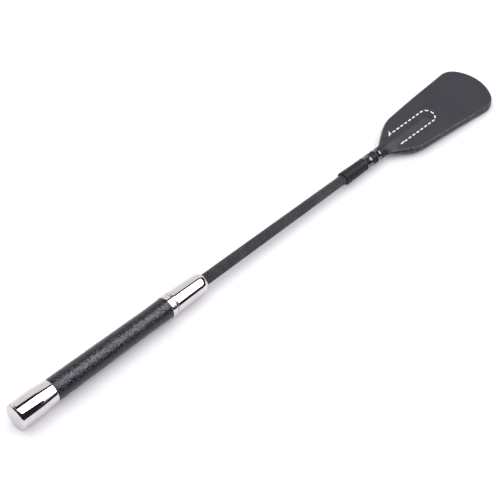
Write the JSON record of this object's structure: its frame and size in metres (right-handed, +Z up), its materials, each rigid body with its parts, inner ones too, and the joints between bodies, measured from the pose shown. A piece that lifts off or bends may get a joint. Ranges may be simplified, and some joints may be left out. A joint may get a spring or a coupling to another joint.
{
  "type": "riding crop",
  "caption": "Short riding crop with a metal-capped leather grip, a braided tapering shaft that bends and springs back, and a broad two-ply leather keeper with U-shaped stitching.",
  "frame": {"origin": "on the ground under the middle of the crop's box as it lies at rest, ferrule ring and keeper tip touching the ground", "axes": "+X from the butt to the keeper's tip, +Y across the keeper, +Z up"},
  "size_m": [0.5242, 0.0518, 0.0216],
  "materials": {
    "chrome": "polished",
    "grip_leather": "satin, fine pebble grain",
    "rim_leather": "burnished",
    "core_wood": "turned, unfinished",
    "fibreglass": "drawn glass fibre rod",
    "braid": "tight black braid",
    "whipping_thread": "waxed thread",
    "lacquer": "glossy",
    "keeper_leather": "smooth, semi-matte",
    "stitch_thread": "waxed white thread"
  },
  "bodies": {
    "handle": {"butt_cap": "chrome", "grip_core": "core_wood", "grip_leather": "grip_leather", "grip_end_rim": "rim_leather", "ferrule_ring": "chrome", "ferrule_sleeve": "chrome", "rod_root": "fibreglass", "sheath_root": "braid"},
    "shaft_lower": {"rod_lower": "fibreglass", "sheath_lower": "braid"},
    "shaft_middle": {"rod_middle": "fibreglass", "sheath_middle": "braid"},
    "shaft_upper": {"rod_upper": "fibreglass", "sheath_upper": "braid", "whipping_long": "whipping_thread", "band_lower": "lacquer", "whipping_middle": "whipping_thread", "band_upper": "lacquer", "whipping_end": "whipping_thread", "keeper_top_root": "keeper_leather", "keeper_bottom_root": "keeper_leather", "stitching_top": "stitch_thread", "stitching_underside": "stitch_thread"},
    "keeper_blade": {"keeper_top_blade": "keeper_leather", "keeper_bottom_blade": "keeper_leather"}
  },
  "joints": [
    {"name": "shaft_bend_lower", "type": "hinge", "parent": "handle", "child": "shaft_lower", "pos_m": [-0.06218, 0, 0.00884], "axis": [0, 1, 0], "range_deg": [-15, 15], "stiffness_Nm_per_rad": 18},
    {"name": "shaft_sway", "type": "hinge", "parent": "shaft_lower", "child": "shaft_middle", "pos_m": [-0.00178, 0, 0.00816], "axis": [0.0112, 0, 0.9999], "range_deg": [-15, 15], "stiffness_Nm_per_rad": 9},
    {"name": "shaft_bend_upper", "type": "hinge", "parent": "shaft_middle", "child": "shaft_upper", "pos_m": [0.05861, 0, 0.00748], "axis": [0, 1, 0], "range_deg": [-15, 15], "stiffness_Nm_per_rad": 18},
    {"name": "keeper_flex", "type": "hinge", "parent": "shaft_upper", "child": "keeper_blade", "pos_m": [0.20121, 0, 0.00588], "axis": [0, 1, 0], "range_deg": [-35, 35], "stiffness_Nm_per_rad": 1}
  ],
  "couplings": [
    {"joint": "shaft_bend_upper", "follows": "shaft_bend_lower", "ratio": 1}
  ]
}
